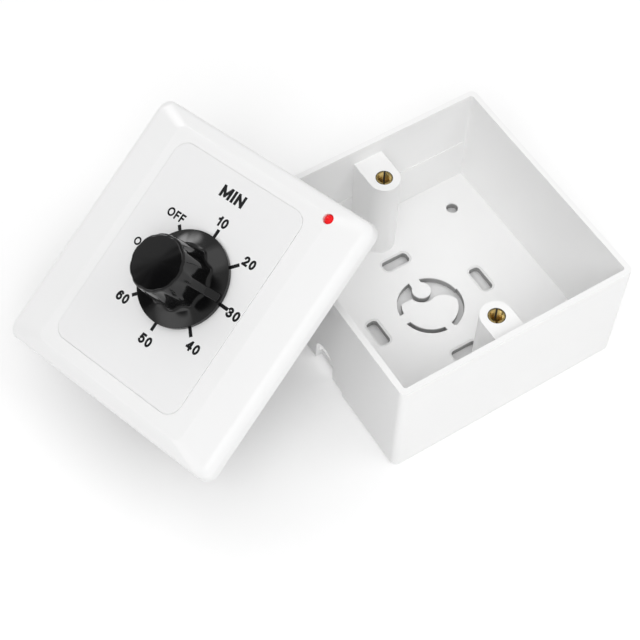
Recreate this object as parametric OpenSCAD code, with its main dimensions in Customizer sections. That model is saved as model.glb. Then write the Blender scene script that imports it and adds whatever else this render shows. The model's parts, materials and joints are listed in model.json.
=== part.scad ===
// Wall timer switch: knob-set timer on a square faceplate, with its surface back box.
// The box lies on its back on the ground. The faceplate, with the timer module behind it,
// leans against the box's rim: the back of the module case rests on the rim, and the lower
// corner of the terminal block stands on the ground.
// Origin: middle of the box's back face, +Z out of the box's open side. Millimetres.
// Faceplate frame: X to the right and Y up on the plate, Z out of its front, with zero in the
// plane of the cover's rim. place_plate() sets that frame into the box's frame.

/* [Back box] */
// Outer width and height of the square box
box_w = 83; // [80:0.5:88]
// Depth of the box, from the wall to its rim
box_h = 42; // [40:0.5:50]
// Thickness of the side walls
box_wall = 2; // [1.6:0.1:2.6]
// Thickness of the back
box_floor = 2.5; // [2:0.1:3.5]
// Radius of the box's upright edges
box_edge_r = 2.2; // [1.8:0.1:4]
// Distance between the two plate screws
screw_pitch = 60.3; // [59:0.1:61]
// Radius of a screw boss's nose
boss_r = 5.2; // [4.6:0.1:5.8]
// How far the boss tops lie below the rim
boss_drop = 6.1; // [4:0.1:9]
// Height at which the walls with the bosses get a little thicker
wall_step_h = 19.5; // [14:0.5:26]
// How much thicker those walls are below it
wall_step = 0.25; // [0.2:0.05:0.5]

/* [Thread inserts] */
// Outer diameter of a brass insert
insert_d = 5.4; // [5:0.1:6.6]
// Length of a brass insert
insert_len = 9; // [6:0.5:12]
// Bore of the insert's thread
thread_bore = 3.3; // [2.8:0.1:3.6]
// Width of the slit across the insert's mouth
insert_slit = 0.6; // [0.4:0.1:1.2]
// Depth of the slit
insert_slit_deep = 5.5; // [1:0.5:6]
// Direction of the slit
insert_slit_turn = 54; // [0:1:179]

/* [Box floor] */
// Distance between opposite wall screw slots
slot_span = 40; // [38:0.5:44]
// Length of a wall screw slot
slot_len = 9.5; // [7:0.5:11]
// Width of a wall screw slot
slot_w = 4; // [3.5:0.1:5]
// Width of the shallow step round a wall screw slot
slot_step_w = 0.7; // [0.4:0.1:1]
// Depth of the shallow step round a wall screw slot
slot_step = 0.2; // [0.2:0.1:0.6]
// Outer radius of the round cable knock-out
knockout_r = 10.7; // [10:0.1:12]
// Width of the knock-out's ring slot
knockout_gap = 1.5; // [1.2:0.1:2]
// Diameter of the drain hole
drain_d = 4; // [3:0.5:5]
// Distance of the drain hole from the middle, each way
drain_at = 28.4; // [26:0.2:31]

/* [Cable entry in the side wall] */
// Sideways place of the entry's middle
entry_at = -0.7; // [-4:0.1:4]
// Width of the break-out panel
entry_w = 23; // [18:0.5:25]
// Height of the break-out panel
entry_h = 14.3; // [12.5:0.1:16]
// How far the panel lies back from the wall's outside
entry_recess = 0.7; // [0.4:0.1:0.9]
// Width of the open arch
arch_w = 9.7; // [8:0.1:12]
// Height of the open arch
arch_h = 11; // [9:0.1:12]

/* [Faceplate] */
// Width and height of the square faceplate
plate_w = 86; // [84:0.5:90]
// Radius of the faceplate's corners
plate_corner_r = 4; // [3:0.5:6]
// Height of the flat front above the rim
face_h = 6.6; // [6:0.1:8]
// Height of the side walls, up to where their round shoulder begins
side_h = 2.6; // [2.2:0.1:3]
// Width of the sloping margins left and right of the flat front
margin_x = 9.4; // [8:0.2:11]
// Width of the sloping margins above and below the flat front
margin_y = 2.6; // [2:0.2:4]
// Thickness of the cover's skin
skin = 2; // [1.6:0.1:2.2]
// Size of the scale label, across
label_w = 50.8; // [46:0.2:52]
// Size of the scale label, upright
label_h = 68.4; // [62:0.2:70]
// Corner radius of the scale label
label_r = 4.5; // [3:0.5:6]
// Thickness of the scale label
label_t = 0.25; // [0.15:0.05:0.4]
// Label's middle, to the right of the plate's
label_x = -1; // [-1.5:0.1:1.5]
// Label's middle, above the plate's
label_y = 0.4; // [-1:0.1:1.5]
// Dial's middle, to the right of the plate's
dial_x = 2.2; // [0:0.1:3]
// Dial's middle, above the plate's
dial_y = 0.5; // [0:0.1:1.5]

/* [Lean of the faceplate] */
// How far below the case's upper right corner the box's rim meets the case
rim_catch = 8.3; // [6:0.1:12]
// Turn of the faceplate in its own plane
plate_turn = 17.4; // [10:0.2:24]
// Place of the faceplate's middle along the rim
plate_y = 21.1; // [14:0.1:26]
// Gap left where the plate's pieces meet the box and the ground
rest_gap = 0.3; // [0.2:0.05:0.5]

/* [Knob] */
// Diameter of the skirt
skirt_d = 29.6; // [28:0.2:33]
// Height of the skirt's edge
skirt_edge = 1; // [0.8:0.1:1.4]
// Height of the whole knob
knob_h = 17; // [15:0.2:19]
// Diameter of the grip at its top
grip_top_d = 17.4; // [16:0.2:18.4]
// Diameter of the grip at its foot
grip_foot_d = 19.8; // [19:0.2:22]
// Height of the grip's foot above the skirt's underside
grip_foot_h = 2.2; // [2:0.1:3.2]
// Number of flutes round the grip
flutes = 10; // [8:1:12]
// Radius of a flute
flute_r = 3.6; // [3:0.2:6]
// Depth of a flute at the grip's foot
flute_depth = 0.9; // [0.6:0.1:1]
// Depth of a flute at the grip's top
flute_fade = 0.3; // [0.2:0.05:0.6]
// Width of the pointer rib
pointer_w = 2.6; // [1.6:0.1:3]
// How far the pointer stands short of its mark, as the knob is fixed on the shaft
pointer_short = 5; // [0:0.5:8]
// Gap between the knob and the label
knob_gap = 0.4; // [0.3:0.1:1]

/* [Indicator] */
// Diameter of the indicator's lens
led_d = 3; // [2.8:0.1:3.2]
// Indicator, to the right of the plate's middle
led_x = 29.8; // [28.6:0.1:31]
// Indicator, above the plate's middle
led_y = 37.2; // [36.8:0.1:38]
// Diameter of the indicator's wires
wire_d = 1; // [0.8:0.1:1.2]

/* [Module case] */
// Width of the case
case_w = 46; // [45:0.5:47]
// Top of the case above the plate's middle
case_top = 30; // [29:0.5:31]
// Bottom of the case below the plate's middle
case_bottom = 34; // [33.5:0.5:35]
// Depth of the case behind the rim's plane
case_depth = 18; // [17.5:0.5:20]
// Thickness of the case's walls
case_wall = 1.6; // [1.4:0.1:1.8]
// Thickness of the mounting frame
frame_t = 2; // [1.8:0.1:2.2]
// Thickness of the circuit board
board_t = 1.6; // [1.2:0.1:1.8]
// Space behind the circuit board
board_lift = 2; // [1.6:0.1:2.4]

/* [Rotary switch] */
// Diameter of the switch shaft
shaft_d = 6; // [5.8:0.1:6.2]
// Running clearance of the shaft, on the radius
shaft_gap = 0.05; // [0.02:0.01:0.1]
// Width of the square switch housing
switch_w = 20; // [19:0.5:20.5]
// Diameter of the threaded bush
bush_d = 9; // [8.6:0.1:9.4]
// Number of switch positions
positions = 8; // [6:1:8]

/* [Terminals] */
// Number of terminals
poles = 4; // [3:1:4]
// Distance between terminals
pole_pitch = 7.6; // [7.2:0.1:7.8]
// Height of the terminal block on the plate
block_h = 15; // [13:0.5:15]
// How far the terminal block reaches behind the rim's plane
block_reach = 31.5; // [30:0.5:33]

/* [Hidden] */
$fn = 64;
eps = 0.01;

// Box
box_in = box_w - 2 * box_wall;
boss_top = box_h - boss_drop;
insert_bottom = boss_top - insert_len;
knockout_tab_r = 3.1;
knockout_tab_at = [0.9, 6.3];
knockout_lobe_at = [3, -4.1];
knockout_lobe_r = 6;
knockout_step = 0.4;
knockout_step_span = 80;
knockout_step_turn = 125;
entry_corner_r = 1;

// Faceplate: heights of the cover's rounded shoulder, each with its insets from the sides and the ends
shoulder = [3.6, 2.1];
cover_profile = [[0, 0, 0], [side_h, 0.3, 0.3], [side_h + 0.9, 0.7, 0.6], [side_h + 1.6, 1.4, 1.1],
    [side_h + 2.1, 2.3, 1.6], [side_h + 2.5, shoulder[0], shoulder[1]],
    [face_h, shoulder[0] + margin_x, shoulder[1] + margin_y]];
cavity_h = frame_t + 0.8;
cavity_profile = [[-eps, skin, skin], [cavity_h, skin + 0.4, skin + 0.4],
    [face_h - skin, skin + 2 + margin_x, skin + 1.5 + margin_y]];
label_top = face_h + label_t;
shaft_hole_d = bush_d + 2;
seat_post_d = 5;
seat_post_in = [8, 13];
seat_post_x = plate_w / 2 - seat_post_in[0];
seat_post_y = plate_w / 2 - seat_post_in[1];
bead_r = 0.45;
bead_len = 8;
bead_z = frame_t / 2;
frame_gap = 0.4;
frame_w = plate_w - 2 * skin - 2 * frame_gap;

// Module
board_front = -case_depth + case_wall + board_lift + board_t;
board_back = board_front - board_t;
case_mid_y = (case_top - case_bottom) / 2;
case_h = case_top + case_bottom;
board_gap = 0.5;
board_w = case_w - 2 * case_wall - 2 * board_gap;
board_h = case_h - 2 * case_wall - 2 * board_gap;
post_r = 3;
post_x = case_w / 2 - 3.5;
post_y = [case_top - 3.5, -case_bottom + 3.5];
case_screw_d = 2.2;
case_screw_len = 9;
case_head_d = 4.6;
case_head_h = 1.1;
screw_gap = 0.05;
board_screw_x = case_w / 2 - 4.8;
board_screw_y = 4;
board_screw_d = 2;
standoff_r = 2.2;

// Rotary switch, heights measured from the mounting frame's back
switch_front = -2;
switch_back = board_front + 1.2;
switch_h = switch_front - switch_back;
switch_base_t = 0.23 * switch_h;
switch_wall = 0.145 * switch_h;
switch_edge_r = 1.5;
rotor_r = switch_w / 2 - 2.2;
rotor_t = 0.29 * switch_h;
rotor_top = switch_front - switch_wall - 0.085 * switch_h;
rotor_bottom = rotor_top - rotor_t;
pad_top = switch_back + switch_base_t + 0.03 * switch_h;
wiper_gap = 0.2;
wiper_w = 2;
lug_h = 0.06 * switch_h;
stop_gap = 0.03 * switch_h;
pin_d = 0.9;
pin_ring_r = switch_w / 2 - 3.2;
pin_tail = 1.2;
position_step = 45;
rest_pointer = 90;
knob_rest = rest_pointer - pointer_short;
stop_angle = 247.5;
stop_rib = 28;
stop_lug = 12;
bush_flange_d = 13;
bush_top = face_h - skin - 0.3;
washer_t = 0.5;
nut_t = 1.5;
nut_af = 12;

// Knob, heights measured from the rim's plane
knob_z = label_top + knob_gap;
knob_top = knob_z + knob_h;
knob_bush_d = 9.6;
knob_bush_len = 10;
knob_bush_z = knob_z + 1.4;
shaft_top = knob_bush_z + knob_bush_len - 0.5;
shaft_bottom = rotor_bottom;
flat_depth = 1;
grub_d = 3;
grub_z = knob_bush_z + 5.5;
flute_lean = atan(((grip_foot_d - grip_top_d) / 2 - flute_depth + flute_fade) / (knob_h - grip_foot_h));

// Terminals
block_w = poles * pole_pitch + 1.6;
block_bottom = case_bottom - 2;
block_mid_y = -block_bottom + block_h / 2;
block_gap = 0.4;
clamp_w = pole_pitch - 2.2;
clamp_h = 7;
clamp_d = 6.4;
clamp_z = -block_reach + 4.2;
clamp_skin = 0.8;
clamp_plate = 2.2;
clamp_set_back = 1.5;
terminal_screw_d = 3.6;
terminal_hole_d = 4.2;
screw_sink = 1;

// Relay, on the board beside the switch
relay_w = 19;
relay_h = 15;
part_gap = 1;
relay_x = -post_x + post_r + part_gap + relay_w / 2;
relay_y = case_top - 10.5;
relay_wall = 0.6;
relay_top = -1.2;
relay_base_t = 1.5;
coil_d = 8;
coil_x = relay_x - 2.5;
bobbin_t = 0.8;
winding_d = coil_d - 1;
yoke_t = 0.8;
yoke_w = 7;
yoke_x = relay_x + 3.1;
hinge_gap = 0.2;
core_d = 3;
armature_z = relay_top - relay_wall - 1.6;
armature_t = 0.8;
armature_w = 6;
contact_x = relay_x - 7.6;
contact_w = 4;
blade_t = 0.6;
rivet_r = 0.8;
rivet_h = 0.5;
pole_gap = 0.5;
contact_gap = 1.1;
hinge_x = yoke_x - yoke_t / 2;

// Other pieces on the board, placed from the case's walls and posts
film_cap = [10.4, 5.5, -board_front - 2.8];
film_cap_x = relay_x + relay_w / 2 + 2 * part_gap + film_cap[0] / 2;
storage_cap_d = 10;
storage_cap_h = -board_front - 1.8;
storage_cap_rise = 16;
storage_cap_at = [-post_x + post_r + 4 * part_gap, -case_bottom + storage_cap_rise];
groove_r = 0.8;
varistor_d = -board_front - 3.8;
varistor_t = 4;
varistor_in = [10.9, 16.5];
varistor_at = [board_w / 2 - varistor_in[0], -case_bottom + varistor_in[1]];
leg_d = 0.8;
leg_pitch = 5;
rectifier_size = [8, 6.5, 2.5];
rectifier_rise = 9;
rectifier_y = -case_bottom + rectifier_rise;
chip_size = [8.6, 3.9, 1.5];
chip_rise = 19;
chip_y = -case_bottom + chip_rise;
chip_leg = [0.4, 6, 0.7];
chip_pitch = 1.27;
resistor_d = 2.4;
resistor_len = 6;
resistor_span = 8;
resistor_pitch = 5;
resistor_lead_d = 0.6;
resistor_in = [12.9, 7];
resistor_at = [board_w / 2 - resistor_in[0], -case_bottom + resistor_in[1]];

// Where the leaning faceplate's middle lies: its terminal block's lower left corner stands on the
// ground, and the plane of the case's back passes just over the rim's outer edge. The angle follows
// from the box's height and from where along the case the rim meets it
catch_run = sin(plate_turn) * (case_w + block_w) / 2
    + cos(plate_turn) * (case_top - rim_catch + block_bottom);
catch_drop = block_reach - case_depth - rest_gap;
plate_tilt = atan2(catch_run, catch_drop) - acos((box_h - rest_gap) / norm([catch_run, catch_drop]));
plate_z = rest_gap + sin(plate_turn) * sin(plate_tilt) * block_w / 2
    + cos(plate_turn) * sin(plate_tilt) * block_bottom + cos(plate_tilt) * block_reach;
plate_x = -box_w / 2 - (case_depth + rest_gap + cos(plate_tilt) * (box_h - plate_z)) / sin(plate_tilt);
plate_at = [plate_x, plate_y, plate_z];

// Sets faceplate coordinates into the box's frame
module place_plate() {
    translate(plate_at)
        rotate([0, -plate_tilt, 0])
            rotate([0, 0, plate_turn - 90])
                children();
}

// Moves to the dial's middle on the faceplate
module at_dial(z = 0) {
    translate([dial_x, dial_y, z]) children();
}

// Turns a shape that points up on the plate to a clockwise scale angle
module at_scale_angle(angle) {
    rotate([0, 0, -angle]) children();
}

// Both screw bosses of the box
module each_boss() {
    for (side = [0, 180]) rotate([0, 0, side]) translate([0, screw_pitch / 2, 0]) children();
}

// The four wall screw slots, square to their radius
module each_wall_slot() {
    for (turn = [0, 90, 180, 270]) rotate([0, 0, turn]) translate([0, slot_span / 2]) children();
}

// The four corner screws of the module case
module each_case_post() {
    for (x = [-post_x, post_x], y = post_y) translate([x, y, 0]) children();
}

// The two screws that hold the board
module each_board_screw() {
    for (side = [-1, 1]) translate([side * board_screw_x, board_screw_y, 0]) children();
}

// The terminals, side by side
module each_pole() {
    for (i = [0 : poles - 1]) translate([(i - (poles - 1) / 2) * pole_pitch, block_mid_y, 0]) children();
}

// Square outline with round corners
module round_rect(w, h, r) {
    square([w - 2 * r, h], center = true);
    square([w, h - 2 * r], center = true);
    for (x = [-1, 1], y = [-1, 1]) translate([x * (w / 2 - r), y * (h / 2 - r)]) circle(r);
}

// Block with its middle on the axis, between two heights
module block(w, h, low, high) {
    translate([-w / 2, -h / 2, low]) cube([w, h, high - low]);
}

// Slot outline with round ends, along X
module slot_outline(len, w) {
    square([len - w, w], center = true);
    for (x = [-1, 1]) translate([x * (len - w) / 2, 0]) circle(d = w);
}

// Solid that follows a list of heights and insets of the square faceplate
module pillow(profile) {
    hull() for (p = profile)
        translate([0, 0, p[0]])
            linear_extrude(eps)
                round_rect(plate_w - 2 * p[1], plate_w - 2 * p[2], plate_corner_r - p[2] / 4, $fn = 64);
}

// Ring slot of the knock-out, with the tab, the wavy disc and the three bridges left standing
module knockout_cut() {
    inner_r = knockout_r - knockout_gap;
    difference() {
        union() {
            circle(knockout_r);
            sector(inner_r, knockout_r + knockout_step, knockout_step_span, knockout_step_turn);
        }
        difference() {
            circle(inner_r);
            translate(knockout_tab_at) circle(knockout_tab_r + 1.7);
            translate([-inner_r, 5]) square([2 * inner_r, inner_r]);
            difference() {
                translate(knockout_lobe_at) square(2 * knockout_lobe_r);
                translate(knockout_lobe_at) circle(knockout_lobe_r);
            }
        }
        translate(knockout_tab_at) circle(knockout_tab_r);
        for (bridge = [[86, 3.6, 4], [181, 3.6, inner_r - 1], [-85, 2.8, inner_r - 1]])
            rotate([0, 0, bridge[0]]) translate([bridge[2], -bridge[1] / 2])
                square([knockout_r, bridge[1]]);
    }
}

// Arched opening of the cable entry, seen square to the wall
module arch_outline() {
    translate([-arch_w / 2, -1]) square([arch_w, arch_h - arch_w / 2 + 1]);
    translate([0, arch_h - arch_w / 2]) circle(d = arch_w);
}

// Outline of the break-out panel, open at the bottom
module entry_outline() {
    below = 2 * entry_corner_r;
    translate([0, (entry_h - below) / 2]) round_rect(entry_w, entry_h + below, entry_corner_r);
}

// Extrudes an outline into the box's left wall, from outside to the given depth
module into_left_wall(depth) {
    translate([-box_w / 2 - eps, entry_at, 0])
        rotate([90, 0, 90]) linear_extrude(depth + eps) children();
}

// Box with bosses, slots, knock-out and cable entry
module back_box() {
    color("white") difference() {
        union() {
            difference() {
                linear_extrude(box_h) round_rect(box_w, box_w, box_edge_r);
                translate([0, 0, box_floor])
                    linear_extrude(box_h)
                        round_rect(box_in, box_in, max(0.3, box_edge_r - box_wall + 0.6));
            }
            for (side = [-1, 1]) translate([0, side * (box_in - wall_step) / 2, 0])
                block(box_in + eps, wall_step + eps, box_floor / 2, wall_step_h);
            each_boss() {
                cylinder(r = boss_r, h = boss_top);
                translate([-boss_r, 0, 0])
                    cube([2 * boss_r, (box_w - screw_pitch - box_wall) / 2, boss_top]);
            }
        }
        each_boss() translate([0, 0, insert_bottom]) cylinder(d = insert_d, h = box_h);
        translate([0, 0, box_floor - slot_step]) linear_extrude(box_floor)
            each_wall_slot()
                round_rect(slot_len + 2 * slot_step_w, slot_w + 2 * slot_step_w,
                    slot_w * 0.35 + slot_step_w);
        translate([0, 0, -1]) linear_extrude(box_floor + 2) {
            each_wall_slot() round_rect(slot_len, slot_w, slot_w * 0.35);
            translate([drain_at, drain_at]) circle(d = drain_d);
            knockout_cut();
        }
        into_left_wall(box_wall + 1) arch_outline();
        into_left_wall(entry_recess) entry_outline();
    }
}

// Split brass inserts, flush with the boss tops
module brass_inserts() {
    color("goldenrod") each_boss() difference() {
        translate([0, 0, insert_bottom]) cylinder(d = insert_d, h = insert_len);
        translate([0, 0, insert_bottom - 1]) cylinder(d = thread_bore, h = insert_len + 2);
        rotate([0, 0, insert_slit_turn])
            block(insert_d + 1, insert_slit, boss_top - insert_slit_deep, boss_top + 1);
    }
}

// Faceplate shell: sloping margins, hollow back, seats and snap beads for the frame
module front_cover() {
    color("white") place_plate() {
        difference() {
            pillow(cover_profile);
            difference() {
                pillow(cavity_profile);
                for (x = [-1, 1], y = [-1, 1]) translate([x * seat_post_x, y * seat_post_y, frame_t])
                    cylinder(d = seat_post_d, h = face_h);
            }
            at_dial() cylinder(d = shaft_hole_d, h = face_h + 1);
            translate([led_x, led_y, 0]) cylinder(d = led_d + 0.2, h = face_h + 1);
        }
        intersection() {
            snap_beads(bead_r);
            pillow(cover_profile);
        }
    }
}

// Half-round beads along the middle of the four inner walls
module snap_beads(r) {
    for (turn = [0, 90, 180, 270])
        rotate([0, 0, turn])
            translate([plate_w / 2 - skin, bead_len / 2, bead_z]) rotate([90, 0, 0])
                cylinder(r = r, h = bead_len);
}

// Printed film on the flat front
module scale_label() {
    color("white") place_plate() difference() {
        translate([label_x, label_y, face_h + eps]) linear_extrude(label_t)
            round_rect(label_w, label_h, label_r);
        at_dial() cylinder(d = shaft_hole_d, h = face_h + 2);
    }
}

// Carrier plate inside the cover
module mounting_frame() {
    color("dimgray") place_plate() difference() {
        linear_extrude(frame_t) round_rect(frame_w, frame_w, plate_corner_r);
        snap_beads(bead_r + 0.15);
        at_dial(-1) cylinder(d = bush_d + 0.2, h = frame_t + 2);
        for (side = [-1, 1]) translate([side * screw_pitch / 2, 0, -1])
            linear_extrude(frame_t + 2) rotate([0, 0, 90]) slot_outline(slot_len, slot_w);
        each_case_post() {
            translate([0, 0, -1]) cylinder(d = case_screw_d + 0.4, h = frame_t + 2);
            translate([0, 0, frame_t - case_head_h - 0.1]) cylinder(d = case_head_d + 0.4, h = frame_t);
        }
        translate([led_x, led_y, -1]) cylinder(d = led_d + 0.4, h = frame_t + 2);
    }
}

// Indicator: domed lens on a flange
module indicator_led() {
    lens_top = face_h + 0.2;
    color("red") place_plate() translate([led_x, led_y, 0]) {
        translate([0, 0, frame_t]) cylinder(d = led_d + 0.8, h = 1);
        translate([0, 0, frame_t]) cylinder(d = led_d, h = lens_top - frame_t - led_d / 2);
        translate([0, 0, lens_top - led_d / 2]) sphere(d = led_d);
    }
}

// Straight piece of wire with round ends
module wire(from, to) {
    run = to - from;
    translate(from) sphere(d = wire_d);
    translate(to) sphere(d = wire_d);
    translate(from)
        rotate([0, acos(run[2] / norm(run)), atan2(run[1], run[0])])
            cylinder(d = wire_d, h = norm(run));
}

// Two wires from the indicator over the case's top edge to the board
module led_wires() {
    color("dimgray") place_plate() for (i = [0, 1]) {
        leg_x = led_x + (i - 0.5) * (wire_d + 0.3);
        level = -wire_d - i * (wire_d + 0.4);
        enter_x = dial_x + switch_w / 2 - i * (wire_d + 0.3);
        inside_y = case_top - 4.8;
        translate([leg_x, led_y, level]) cylinder(d = wire_d, h = frame_t - level);
        wire([leg_x, led_y, level], [enter_x, led_y, level]);
        wire([enter_x, led_y, level], [enter_x, inside_y, level]);
        translate([enter_x, inside_y, board_front]) cylinder(d = wire_d, h = level - board_front);
    }
}

// Tub behind the frame, with corner posts, board stand-offs and the terminal opening
module module_case() {
    inner_w = case_w - 2 * case_wall;
    inner_h = case_h - 2 * case_wall;
    color("dimgray") place_plate() difference() {
        union() {
            translate([0, case_mid_y, 0]) difference() {
                translate([0, 0, -case_depth]) linear_extrude(case_depth) round_rect(case_w, case_h, 2);
                translate([0, 0, -case_depth + case_wall])
                    linear_extrude(case_depth) round_rect(inner_w, inner_h, 1);
            }
            each_case_post() translate([0, 0, -case_depth]) cylinder(r = post_r, h = case_depth);
            each_board_screw() translate([0, 0, -case_depth])
                cylinder(r = standoff_r, h = case_depth + board_back);
        }
        each_case_post() translate([0, 0, -case_screw_len])
            cylinder(d = case_screw_d + 2 * screw_gap, h = case_depth);
        each_board_screw() translate([0, 0, board_back - board_lift - 0.4])
            cylinder(d = board_screw_d + 2 * screw_gap, h = case_depth);
        translate([0, block_mid_y, 0])
            block(block_w + 2 * block_gap, block_h + 2 * block_gap, -case_depth - 1, board_back);
        translate([dial_x + switch_w / 2 - wire_d / 2, case_top, 0])
            block(3 * wire_d + 0.6, 4 * case_wall, -3 * wire_d - 0.6, 1);
    }
}

// Pan-head screw that points down from the origin
module screw(shank_d, len, head_d, head_h) {
    translate([0, 0, -len]) cylinder(d = shank_d, h = len);
    difference() {
        cylinder(d = head_d, h = head_h);
        for (turn = [0, 90]) rotate([0, 0, turn])
            block(head_d * 0.6, head_d * 0.14, head_h / 2, head_h + 1);
    }
}

// Screws through the frame into the case's posts
module case_screws() {
    color("silver") place_plate() each_case_post()
        translate([0, 0, frame_t - case_head_h - 0.1])
            screw(case_screw_d, case_screw_len, case_head_d, case_head_h);
}

// Board with cut corners and pin holes
module circuit_board() {
    color("darkgreen") place_plate() difference() {
        translate([0, case_mid_y, board_back]) linear_extrude(board_t) round_rect(board_w, board_h, 1);
        each_case_post() translate([0, 0, board_back - 1])
            cylinder(r = post_r + board_gap, h = board_t + 2);
        each_board_screw() translate([0, 0, board_back - 1])
            cylinder(d = board_screw_d + 0.4, h = board_t + 2);
        at_dial() each_pin(board_back - 1, pin_d + 0.2, board_t + 2);
    }
}

// Screws that hold the board on its stand-offs
module board_screws() {
    color("silver") place_plate() each_board_screw() translate([0, 0, board_front])
        screw(board_screw_d, board_t + board_lift, board_screw_d * 1.8, 1.2);
}

// Terminal block behind the board, with wire entries below and screw holes behind
module terminal_block() {
    color("dimgray") place_plate() difference() {
        translate([0, block_mid_y, 0]) block(block_w, block_h, -block_reach, board_back);
        each_pole() {
            translate([0, 0, -block_reach - 1])
                cylinder(d = terminal_hole_d, h = block_reach + clamp_z + 2);
            translate([0, clamp_h * 1.5 + clamp_set_back - block_h, 0])
                block(clamp_w, block_h, clamp_z - eps, clamp_z + clamp_d + eps);
        }
    }
}

// Clamp cages in the wire entries
module terminal_clamps() {
    middle = block_h / 2 - clamp_h - clamp_set_back;
    color("goldenrod") place_plate() each_pole() translate([0, -middle, 0]) difference() {
        block(clamp_w, clamp_h, clamp_z, clamp_z + clamp_d);
        block(clamp_w - 2 * clamp_skin, clamp_h + 2, clamp_z + clamp_plate,
            clamp_z + clamp_d - clamp_skin);
        translate([0, middle, clamp_z - 1]) cylinder(d = terminal_screw_d + 0.1, h = clamp_plate + 2);
    }
}

// Clamp screws
module terminal_screws() {
    color("silver") place_plate() each_pole() difference() {
        translate([0, 0, -block_reach + screw_sink])
            cylinder(d = terminal_screw_d,
                h = clamp_z + clamp_plate + clamp_skin + block_reach - screw_sink);
        block(terminal_screw_d + 1, screw_sink * 0.8, -block_reach, -block_reach + 2 * screw_sink);
    }
}

// The switch's fixed contacts: a ring with one for each position, and the common one in the middle
module each_pin(low, d, h) {
    translate([0, 0, low]) cylinder(d = d, h = h);
    for (i = [0 : positions - 1]) at_scale_angle(position_step * (i - 2))
        translate([0, pin_ring_r, low]) cylinder(d = d, h = h);
}

// Ring sector between two radii, centred on a clockwise scale angle
module sector(r_in, r_out, width, angle) {
    at_scale_angle(angle) intersection() {
        difference() {
            circle(r_out);
            circle(r_in);
        }
        polygon([[0, 0], [-2 * r_out * tan(width / 2), 2 * r_out], [2 * r_out * tan(width / 2),
            2 * r_out]]);
    }
}

// Cup over the rotor, with the end stop
module switch_housing() {
    cup_back = switch_back + switch_base_t;
    color("dimgray") place_plate() at_dial() {
        difference() {
            translate([0, 0, cup_back]) linear_extrude(switch_front - cup_back)
                round_rect(switch_w, switch_w, switch_edge_r);
            translate([0, 0, cup_back - 1])
                cylinder(r = rotor_r + 0.7, h = switch_front - switch_wall - cup_back + 1);
            translate([0, 0, cup_back]) cylinder(d = shaft_d + 0.4, h = case_depth);
        }
        translate([0, 0, rotor_top + stop_gap])
            linear_extrude(switch_front - switch_wall - rotor_top - stop_gap + eps)
                sector(shaft_d / 2 + 1.2, rotor_r + 0.8, stop_rib, stop_angle);
    }
}

// Base that closes the switch and carries the pins
module switch_base() {
    color("saddlebrown") place_plate() at_dial() difference() {
        translate([0, 0, switch_back]) linear_extrude(switch_base_t)
            round_rect(switch_w, switch_w, switch_edge_r);
        each_pin(switch_back - 1, pin_d + 0.1, switch_base_t + 2);
    }
}

// Pins with flat contact heads
module switch_pins() {
    color("silver") place_plate() at_dial() {
        each_pin(board_back - pin_tail, pin_d, pad_top - board_back + pin_tail);
        each_pin(switch_back + switch_base_t + eps, pin_d * 2,
            pad_top - switch_back - switch_base_t - eps);
    }
}

// Threaded bush: flange behind the frame, thread through it
module switch_bush() {
    color("silver") place_plate() at_dial() difference() {
        union() {
            translate([0, 0, switch_front]) cylinder(d = bush_flange_d, h = -switch_front);
            translate([0, 0, switch_front]) cylinder(d = bush_d, h = bush_top - switch_front);
        }
        translate([0, 0, switch_front - 1]) cylinder(d = shaft_d + 2 * shaft_gap, h = face_h + 3);
    }
}

// Plain washer on the frame
module switch_washer() {
    color("silver") place_plate() at_dial(frame_t) difference() {
        cylinder(d = bush_flange_d, h = washer_t);
        translate([0, 0, -1]) cylinder(d = bush_d + 0.2, h = washer_t + 2);
    }
}

// Hexagon nut on the bush
module switch_nut() {
    color("silver") place_plate() at_dial(frame_t + washer_t) difference() {
        cylinder(d = nut_af / cos(30), h = nut_t, $fn = 6);
        translate([0, 0, -1]) cylinder(d = bush_d + 0.1, h = nut_t + 2);
    }
}

// Shaft with a flat where the grub screw bears
module switch_shaft() {
    color("silver") place_plate() at_dial() difference() {
        translate([0, 0, shaft_bottom]) cylinder(d = shaft_d, h = shaft_top - shaft_bottom);
        at_scale_angle(knob_rest + 180)
            translate([-shaft_d / 2, shaft_d / 2 - flat_depth, knob_bush_z])
                cube([shaft_d, shaft_d, knob_bush_len]);
    }
}

// Rotor disc with its stop lug
module switch_rotor() {
    color("dimgray") place_plate() at_dial() difference() {
        union() {
            translate([0, 0, rotor_bottom]) cylinder(r = rotor_r, h = rotor_t);
            translate([0, 0, rotor_top - eps]) linear_extrude(lug_h)
                sector(shaft_d / 2, rotor_r - 0.4, stop_lug, rest_pointer);
        }
        translate([0, 0, rotor_bottom - 1]) cylinder(d = shaft_d, h = rotor_t + 3);
        translate([0, 0, rotor_top - 0.5]) cylinder(d = shaft_d + 0.4, h = 3);
    }
}

// Spring contact under the rotor
module switch_wiper() {
    wiper_t = 0.3;
    color("goldenrod") place_plate() at_dial() at_scale_angle(rest_pointer) {
        translate([-wiper_w / 2, -shaft_d / 2, rotor_bottom - wiper_t])
            cube([wiper_w, pin_ring_r + shaft_d / 2, wiper_t]);
        for (y = [0, pin_ring_r]) translate([0, y, pad_top + wiper_gap])
            cylinder(d = wiper_w * 0.8, h = rotor_bottom - pad_top - wiper_gap);
    }
}

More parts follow.
